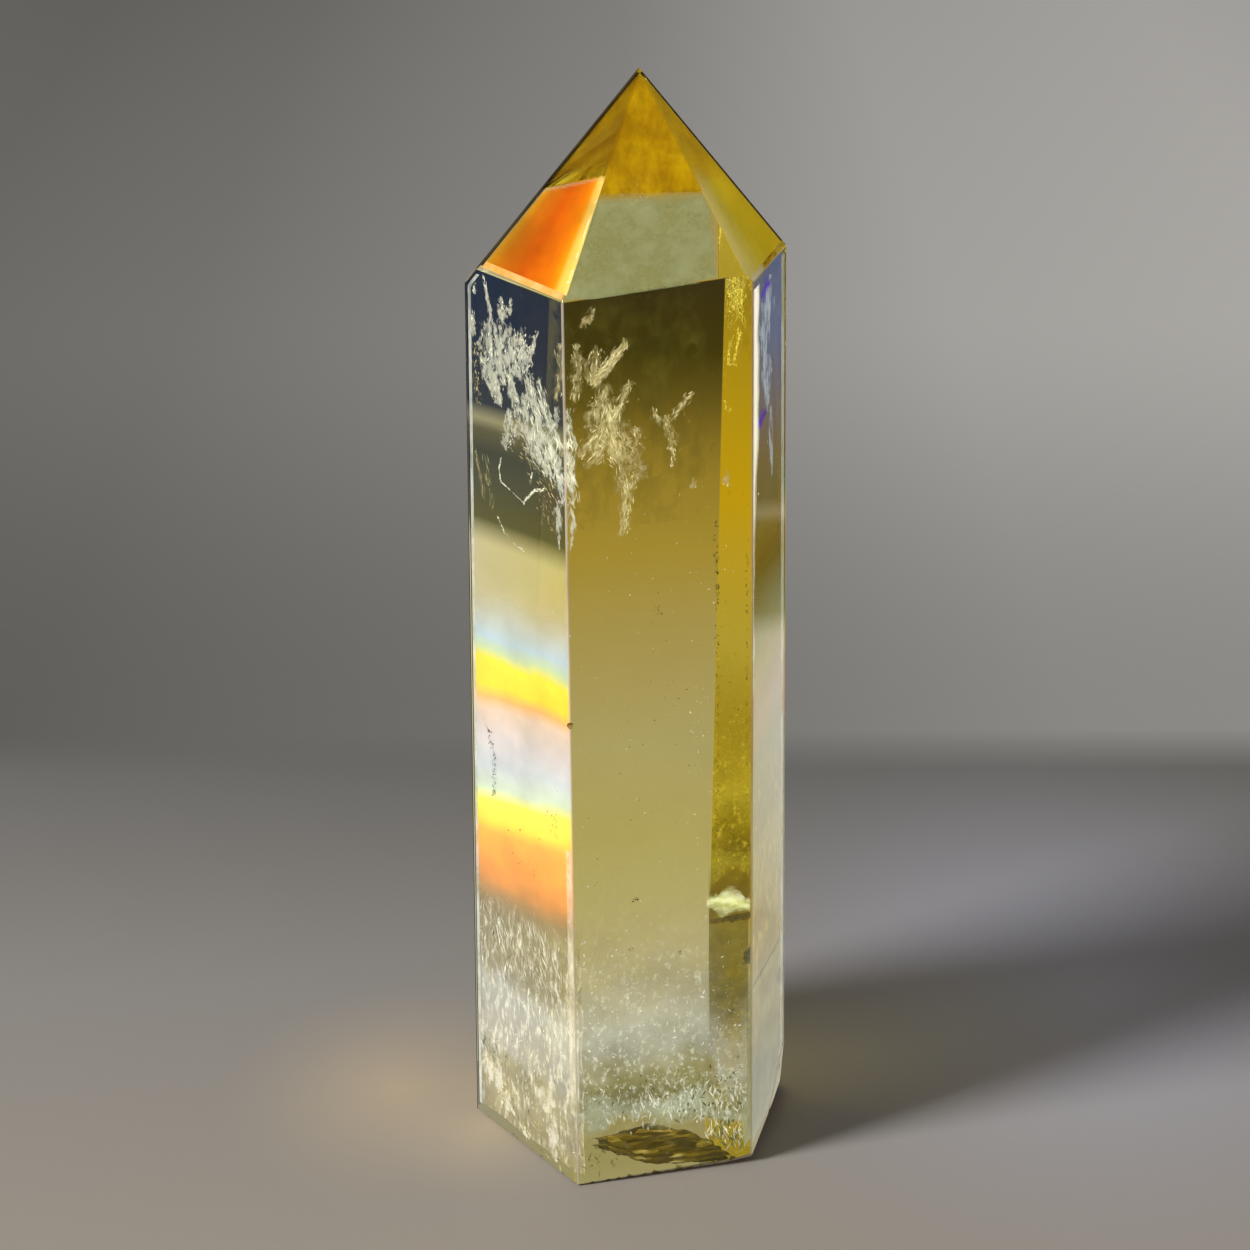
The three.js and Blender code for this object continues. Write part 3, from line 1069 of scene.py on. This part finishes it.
def add_tip_films():
    """Smoky amber just under the tip, and a pale green cloud under the lower half of its front."""
    tips = (
        (
            "tip_film_front", TOP_FACET, inset(TOP_FACET, 0.08), 0.3,
            ((0.38, 0.2, 0.001), (0.78, 0.52, 0.002)), lambda a, h: (h - 82.3) * 2,
        ),
        (
            "tip_film_left", LEFT_FACET, inset(LEFT_FACET, 0.08), 0.3,
            ((0.22, 0.11, 0.001), (0.38, 0.24, 0.002)), lambda a, h: h - 82.9 - 0.37 * a,
        ),
        (
            "tip_film_right", RIGHT_FACET, inset(RIGHT_FACET, 0.08, 0.35), 0.18,
            ((0.4, 0.24, 0.001), (0.64, 0.44, 0.004)), lambda a, h: (h - 82.2) / 2,
        ),
    )
    for name, face, span, depth, colours, amount in tips:
        smoke = flaw_material(name, colours, 0.5, 0.88, 0.9, 0.25, (620, 620, 170))
        sheet(name, face, (82.2, 89.6), span, 0.2, amount, depth, smoke)
    window = flaw_material(
        "window_cloud", ((0.27, 0.34, 0.16), (0.52, 0.58, 0.38)), 0.34, 0.62, 1, 0.25, (420, 420, 420),
    )
    sheet(
        "window_cloud", TOP_FACET, (76.7, 82.6), inset(TOP_FACET, 0.1), 0.2,
        lambda a, h: min(1.0, (5.4 - a) * 2.5, (82.6 - h) * 1.6), 0.3, window,
    )


# The corners of the broken patch in the base, x and y in millimetres.
SCAR = [(-4.4, -1.4), (-0.3, -7.4), (7.0, -9.3), (4.7, -3.2), (1.0, 0.8)]
# The grid that it is cut from: its corner, the side of a cell, and how many cells there are.
SCAR_CORNER = (-4.8, -9.7)
SCAR_CELL = 0.16
SCAR_COLUMNS = 76
SCAR_ROWS = 67


def add_scar():
    """A dark broken patch in the foot, just above the base: a jagged black rim round olive."""
    bm = bmesh.new()
    amounts = bm.verts.layers.float.new("amount")
    grid = []
    for row in range(SCAR_ROWS + 1):
        y = SCAR_CORNER[1] + row * SCAR_CELL
        line = []
        for column in range(SCAR_COLUMNS + 1):
            x = SCAR_CORNER[0] + column * SCAR_CELL
            shift = noise.noise_vector(Vector((x * 1.1, y * 1.1, 80))) * 0.34
            inside = math.inf
            for (x0, y0), (x1, y1) in zip(SCAR, SCAR[1:] + SCAR[:1]):
                length = math.hypot(x1 - x0, y1 - y0)
                aside = ((x1 - x0) * (y + shift.y - y0) - (y1 - y0) * (x + shift.x - x0)) / length
                inside = min(inside, aside)
            if inside <= 0:
                line.append(None)
                continue
            lift = 0.3 + 0.12 * noise.noise(Vector((x, y, 81)))
            vert = bm.verts.new((x * MM, y * MM, lift * MM))
            vert[amounts] = inside
            line.append(vert)
        grid.append(line)
    skin(bm, grid)
    add_flaw("scar", bm, scar_material())


def scar_material():
    """Angular patches from dark olive to gold, broken by streaks, within a dark rim."""
    material, tree = new_material("scar")
    amount = stored(tree, "amount")
    grain, axes = object_noise(tree, (520, 1150, 520), 5.0, 0.7, math.radians(-28))
    plates = node(tree, "TexVoronoi", Vector=axes, Scale=1.3).outputs["Color"]
    broken = math_node(tree, "MULTIPLY", math_node(tree, "ADD", grain, plates), 0.62)
    streaks = ramp(tree, broken, [
        (0.46, (0.024, 0.016, 0.002)),
        (0.64, (0.075, 0.052, 0.005)),
        (0.8, (0.2, 0.15, 0.015)),
        (0.94, (0.66, 0.56, 0.24)),
    ])["Color"]
    colour = mixed(tree, spread(tree, amount, 0.15, 0.45), (0.02, 0.014, 0.003), streaks)
    return flaw_surface(material, tree, 0.6, colour, 0.45, spread(tree, amount, 0.0, 0.12, 0.0, 0.97))


def add_flaws():
    add_feathers()
    add_painted_edge_lines()
    add_tip_films()
    add_scar()
    add_foot_clouds()
    add_foot_flaws()
    add_dark_flaws()
    add_right_flaws()
    add_painted_rainbow()
    add_facet_films()


# ---------------- studio

FLOOR_RADIUS = 0.6
FLOOR_LEVEL = -0.00002
FLOOR_FADE = (0.45, 0.58)
WALL_STARTS = 0.058
WALL_BLEND = 0.004
# Where the tones of the floor and the backdrop run: from back to front, across, and up the backdrop.
FLOOR_RUN = (0.06, -0.02)
WALL_ACROSS = (-0.11, 0.11)
WALL_UP = (0.06, 0.19)
GLOW_RADIUS = 0.5
GLOW_LEVEL = -0.00001
KEY_TOWARD = (-0.98, -0.16, 0.62)
KEY_DISTANCE = 1.2
KEY_SIZE = 0.3
KEY_WATTS = 18.0
KEY_COLOUR = (1.0, 0.98, 0.95)
# Painted light on the floor round the crystal: two warm patches of glow by the left foot, and a pale blue
# tint that lightens the crystal's shadow to the right. x, y and radius in metres, and colour.
PAINTED_FLOOR_LIGHT = [
    (-0.02, 0.001, 0.016, (0.56, 0.44, 0.3)),
    (-0.012, -0.004, 0.01, (0.52, 0.43, 0.3)),
    (0.042, 0.014, 0.046, (0.44, 0.46, 0.6)),
]


def add_stage(name, mesh, material):
    thing = add_object(name, mesh)
    mesh.materials.append(material)
    return thing


def disc(name, radius, height):
    bm = bmesh.new()
    bmesh.ops.create_circle(bm, cap_ends=True, segments=96, radius=radius)
    bmesh.ops.translate(bm, vec=(0, 0, height), verts=bm.verts)
    return mesh_of(name, bm)


def floor_material():
    """Pale grey, lighter towards the front, and beyond WALL_STARTS the tones of the backdrop, darker to
    the left and dimmer where it starts: these gradients are painted light and shade.
    """
    material, tree = new_material("pale_floor")
    place, axes = place_axes(tree, "Object")
    near = ramp(tree, spread(tree, axes["Y"], *FLOOR_RUN), [
        (0, (0.148, 0.147, 0.143)),
        (0.55, (0.27, 0.258, 0.247)),
        (1, (0.33, 0.3, 0.262)),
    ])["Color"]
    wall = ramp(tree, spread(tree, axes["X"], *WALL_ACROSS), [
        (0, (0.165, 0.163, 0.155)),
        (0.2, (0.205, 0.202, 0.193)),
        (0.5, (0.32, 0.316, 0.306)),
        (0.72, (0.5, 0.494, 0.48)),
        (1, (0.6, 0.59, 0.575)),
    ])["Color"]
    dim = ramp(tree, spread(tree, axes["Y"], *WALL_UP), [
        (0, (0.63, 0.63, 0.63)),
        (1, (1, 1, 1)),
    ], smooth=True)["Color"]
    turn = spread(tree, axes["Y"], WALL_STARTS - WALL_BLEND, WALL_STARTS + WALL_BLEND)
    colour = mixed(tree, turn, near, mixed(tree, 1.0, wall, dim, "MULTIPLY"))
    for x, y, radius, tint in PAINTED_FLOOR_LIGHT:
        nearness = spread(tree, distance_from(tree, place, (x, y, 0.0)), radius, 0.0, 0.0, 0.75)
        colour = mixed(tree, math_node(tree, "POWER", nearness, 1.5), colour, tint)
    fade = spread(tree, distance_from(tree, place, (0.0, 0.0, 0.0)), *FLOOR_FADE)
    paint = node(tree, "BsdfDiffuse", Color=colour)
    clear = node(tree, "BsdfTransparent")
    mix = node(tree, "MixShader", Fac=fade)
    fill(tree, mix.inputs[1], paint.outputs["BSDF"])
    fill(tree, mix.inputs[2], clear.outputs["BSDF"])
    node(tree, "OutputMaterial", Surface=mix.outputs["Shader"])
    return material


# What the crystal sees of the table, by how far off it lies in metres, in four directions.
GLOW_REACH = 0.2
# Beyond them it turns to one tone, and it turns from behind to the right and to the left between
# these angles from +X, and to the front between these places along Y.
GLOW_FAR = (0.225, 0.29)
GLOW_FAR_TONE = (0.3, 0.285, 0.25)
TURN_RIGHT = (math.radians(66), math.radians(56))
TURN_LEFT = (math.radians(98), math.radians(114))
TURN_BEFORE = (-0.009, -0.013)
GLOW_BEHIND = [
    (0, (0.5, 0.49, 0.5)),
    (0.02, (0.52, 0.5, 0.52)),
    (0.044, (0.44, 0.41, 0.31)),
    (0.06, (0.42, 0.39, 0.34)),
    (0.08, (0.39, 0.33, 0.2)),
    (0.1, (0.38, 0.29, 0.08)),
    (0.12, (0.3, 0.22, 0.05)),
    (0.14, (0.12, 0.09, 0.02)),
    (0.156, (0.034, 0.028, 0.005)),
    (0.19, (0.016, 0.011, 0.003)),
]
GLOW_RIGHT = [
    (0, (0.5, 0.49, 0.5)),
    (0.02, (0.52, 0.5, 0.52)),
    (0.05, (0.62, 0.59, 0.56)),
    (0.094, (0.72, 0.68, 0.56)),
    (0.1, (0.09, 0.1, 0.025)),
    (0.118, (0.035, 0.05, 0.02)),
    (0.1245, (0.11, 0.11, 0.05)),
    (0.1275, (0.36, 0.35, 0.27)),
    (0.132, (0.015, 0.03, 0.045)),
    (0.15, (0.002, 0.016, 0.05)),
]
GLOW_LEFT = [
    (0, (0.5, 0.49, 0.5)),
    (0.02, (0.52, 0.52, 0.62)),
    (0.055, (0.44, 0.49, 0.75)),
    (0.068, (0.3, 0.31, 0.35)),
    (0.084, (0.14, 0.1, 0.01)),
    (0.11, (0.22, 0.16, 0.09)),
    (0.145, (0.16, 0.2, 0.55)),
    (0.19, (0.1, 0.14, 0.4)),
]
GLOW_BEFORE = [
    (0.01, (0.2, 0.18, 0.03)),
    (0.024, (0.25, 0.21, 0.02)),
    (0.045, (0.46, 0.44, 0.4)),
    (0.07, (0.56, 0.43, 0.02)),
    (0.105, (0.4, 0.33, 0.07)),
    (0.14, (0.2, 0.15, 0.05)),
]


def glow_material():
    """The lit table around the crystal, as a plain glow."""
    material, tree = new_material("table_glow")
    place, axes = place_axes(tree, "Object")
    far = distance_from(tree, place, (0.0, 0.0, 0.0))
    turn = math_node(tree, "ARCTAN2", axes["Y"], axes["X"])
    away = spread(tree, far, 0.0, GLOW_REACH)

    def tones(stops):
        return ramp(tree, away, [(radius / GLOW_REACH, tone) for radius, tone in stops])["Color"]

    to_right = spread(tree, turn, *TURN_RIGHT)
    to_left = spread(tree, turn, *TURN_LEFT)
    before = spread(tree, axes["Y"], *TURN_BEFORE)
    light = mixed(tree, to_right, tones(GLOW_BEHIND), tones(GLOW_RIGHT))
    light = mixed(tree, to_left, light, tones(GLOW_LEFT))
    light = mixed(tree, before, light, tones(GLOW_BEFORE))
    light = mixed(tree, spread(tree, far, *GLOW_FAR), light, GLOW_FAR_TONE)
    shine = node(tree, "Emission", Strength=1.0, Color=light)
    node(tree, "OutputMaterial", Surface=shine.outputs["Emission"])
    material.cycles.emission_sampling = "NONE"
    return material


# The world's tone for each kind of ray that doesn't see its gradient.
RAY_TONES = (
    ("Is Reflection Ray", (0.05, 0.05, 0.05)),
    ("Is Diffuse Ray", (0.21, 0.205, 0.2)),
    ("Is Camera Ray", (0.24, 0.235, 0.225)),
)


def add_world():
    world = bpy.data.worlds.new("studio")
    bpy.context.scene.world = world
    world.use_nodes = True
    tree = world.node_tree
    tree.nodes.clear()
    _, axes = place_axes(tree, "Generated")
    light = ramp(tree, spread(tree, axes["Z"], -1.0, 1.0), [
        (0.44, (0.03, 0.03, 0.035)),
        (0.47, (0.22, 0.215, 0.2)),
        (0.53, (0.26, 0.26, 0.27)),
        (0.8, (0.3, 0.29, 0.3)),
        (0.95, (0.8, 0.8, 0.8)),
    ])["Color"]
    path = node(tree, "LightPath").outputs
    for ray, tone in RAY_TONES:
        light = mixed(tree, path[ray], light, tone)
    back = node(tree, "Background", Color=light)
    node(tree, "OutputWorld", Surface=back.outputs["Background"])


def add_lamp(name, toward, distance, size, watts, colour):
    data = bpy.data.lights.new(name, "AREA")
    data.shape = "DISK"
    data.size = size
    data.energy = watts
    data.color = colour
    lamp = add_object(name, data)
    direction = Vector(toward).normalized()
    lamp.location = Vector((0, 0, HEIGHT / 2)) + direction * distance
    lamp.rotation_euler = (-direction).to_track_quat("-Z", "Y").to_euler()
    lamp.visible_transmission = False


def add_studio():
    floor = add_stage("floor", disc("floor", FLOOR_RADIUS, FLOOR_LEVEL), floor_material())
    floor.rotation_euler.z = CAMERA_AZIMUTH
    glow = add_stage("table_glow", disc("table_glow", GLOW_RADIUS, GLOW_LEVEL), glow_material())
    glow.visible_camera = False
    glow.visible_diffuse = False
    glow.visible_shadow = False
    add_world()
    add_lamp("key", KEY_TOWARD, KEY_DISTANCE, KEY_SIZE, KEY_WATTS, KEY_COLOUR)


add_camera()
build_crystal()
add_flaws()
add_studio()

scene = bpy.context.scene
scene.view_settings.view_transform = "Standard"
scene.cycles.use_denoising = True
scene.cycles.max_bounces = 32
scene.cycles.transmission_bounces = 32
scene.cycles.glossy_bounces = 16
scene.cycles.diffuse_bounces = 4
scene.cycles.transparent_max_bounces = 32
